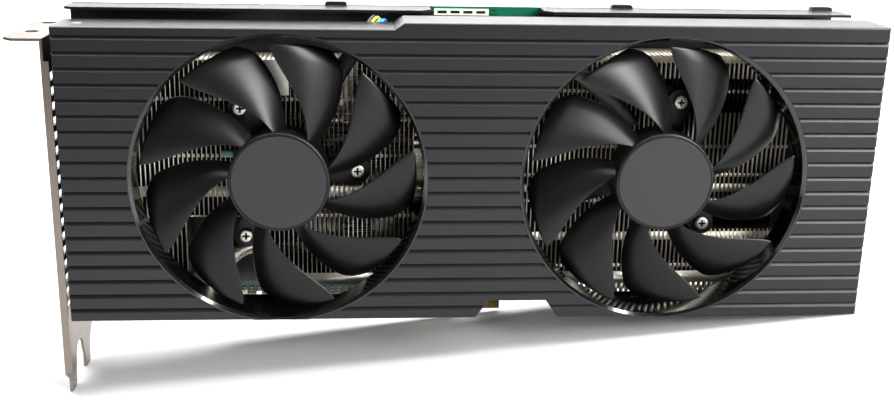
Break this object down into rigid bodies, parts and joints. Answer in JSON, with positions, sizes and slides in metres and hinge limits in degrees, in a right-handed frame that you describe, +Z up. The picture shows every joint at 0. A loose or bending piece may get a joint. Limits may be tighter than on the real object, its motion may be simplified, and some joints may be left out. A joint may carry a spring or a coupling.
{
  "type": "graphics card",
  "caption": "Two-slot computer graphics card: ribbed black cover with a pair of recessed swept-blade fans over a finned heat sink, green board and steel end bracket.",
  "frame": {"origin": "bottom centre of the whole card's box: the bracket's tongue tips are at z = 0", "axes": "+X along the card from the bracket to the tail, +Y from the fans' side to the board's back, +Z up, away from the edge contacts"},
  "size_m": [0.2784, 0.0416, 0.128],
  "materials": {
    "shroud_plastic": "ribbed charcoal moulding, satin",
    "fan_plastic": "black glossy moulded blades",
    "hub_label": "plain matt grey disc",
    "bracket_steel": "nickel-plated sheet, satin",
    "screw_steel": "nickel-plated screw",
    "black_screw": "black zinc screw",
    "frame_aluminium": "pressed sheet, plain",
    "fin_aluminium": "nickel-plated thin fins",
    "pipe_copper": "nickel-plated copper pipe",
    "cold_nickel": "nickel-plated copper block",
    "board_green": "green solder mask",
    "contact_gold": "gold-plated contacts",
    "chip_epoxy": "black moulded epoxy",
    "die_silicon": "polished silicon",
    "pad_silicone": "soft grey thermal pad",
    "inductor_grey": "pressed ferrite powder",
    "capacitor_case": "moulded polymer capacitor",
    "header_ivory": "ivory nylon",
    "socket_black": "black nylon",
    "magnet_ferrite": "bonded ferrite",
    "shaft_steel": "ground steel",
    "bearing_bronze": "oil-filled bronze",
    "core_iron": "stacked iron sheet",
    "coil_copper": "enamelled copper wire",
    "wire_pvc": "thin insulated wires",
    "spring_steel": "black spring steel",
    "clip_plastic": "black clip"
  },
  "bodies": {
    "card": {"shroud": "shroud_plastic", "shroud_screws": "black_screw", "bracket": "bracket_steel", "bracket_screws": "screw_steel", "bracket_nuts": "screw_steel", "mid_plate": "frame_aluminium", "cold_plate": "cold_nickel", "heat_pipes": "pipe_copper", "fin_bridge": "fin_aluminium", "fan_posts": "screw_steel", "fan_screws": "screw_steel", "circuit_board": "board_green", "edge_contacts": "contact_gold", "gpu_substrate": "board_green", "gpu_die": "die_silicon", "memory_chips": "chip_epoxy", "memory_pads": "pad_silicone", "inductors": "inductor_grey", "power_stages": "chip_epoxy", "capacitors": "capacitor_case", "controller_chips": "chip_epoxy", "board_header": "header_ivory", "display_shells": "bracket_steel", "display_cores": "socket_black", "video_shell": "bracket_steel", "video_core": "socket_black", "power_socket": "socket_black", "power_pins": "contact_gold", "retention_spring": "spring_steel", "spring_screws": "screw_steel", "board_clips": "clip_plastic", "left_bearing": "bearing_bronze", "left_fan_base": "socket_black", "left_stator_core": "core_iron", "left_stator_coils": "coil_copper", "left_fan_board": "board_green", "left_fan_lead": "wire_pvc", "left_fan_plug": "header_ivory", "left_fan_header": "header_ivory", "left_fin_stack": "fin_aluminium", "right_bearing": "bearing_bronze", "right_fan_base": "socket_black", "right_stator_core": "core_iron", "right_stator_coils": "coil_copper", "right_fan_board": "board_green", "right_fan_lead": "wire_pvc", "right_fan_plug": "header_ivory", "right_fan_header": "header_ivory", "right_fin_stack": "fin_aluminium"},
    "left_fan": {"left_rotor": "fan_plastic", "left_hub_disc": "hub_label", "left_magnet": "magnet_ferrite", "left_shaft": "shaft_steel"},
    "right_fan": {"right_rotor": "fan_plastic", "right_hub_disc": "hub_label", "right_magnet": "magnet_ferrite", "right_shaft": "shaft_steel"}
  },
  "joints": [
    {"name": "left_fan_spin", "type": "hinge", "parent": "card", "child": "left_fan", "pos_m": [-0.05618, 0, 0.0748], "axis": [0, -1, 0], "continuous": true},
    {"name": "right_fan_spin", "type": "hinge", "parent": "card", "child": "right_fan", "pos_m": [0.06911, 0, 0.0748], "axis": [0, -1, 0], "continuous": true}
  ]
}
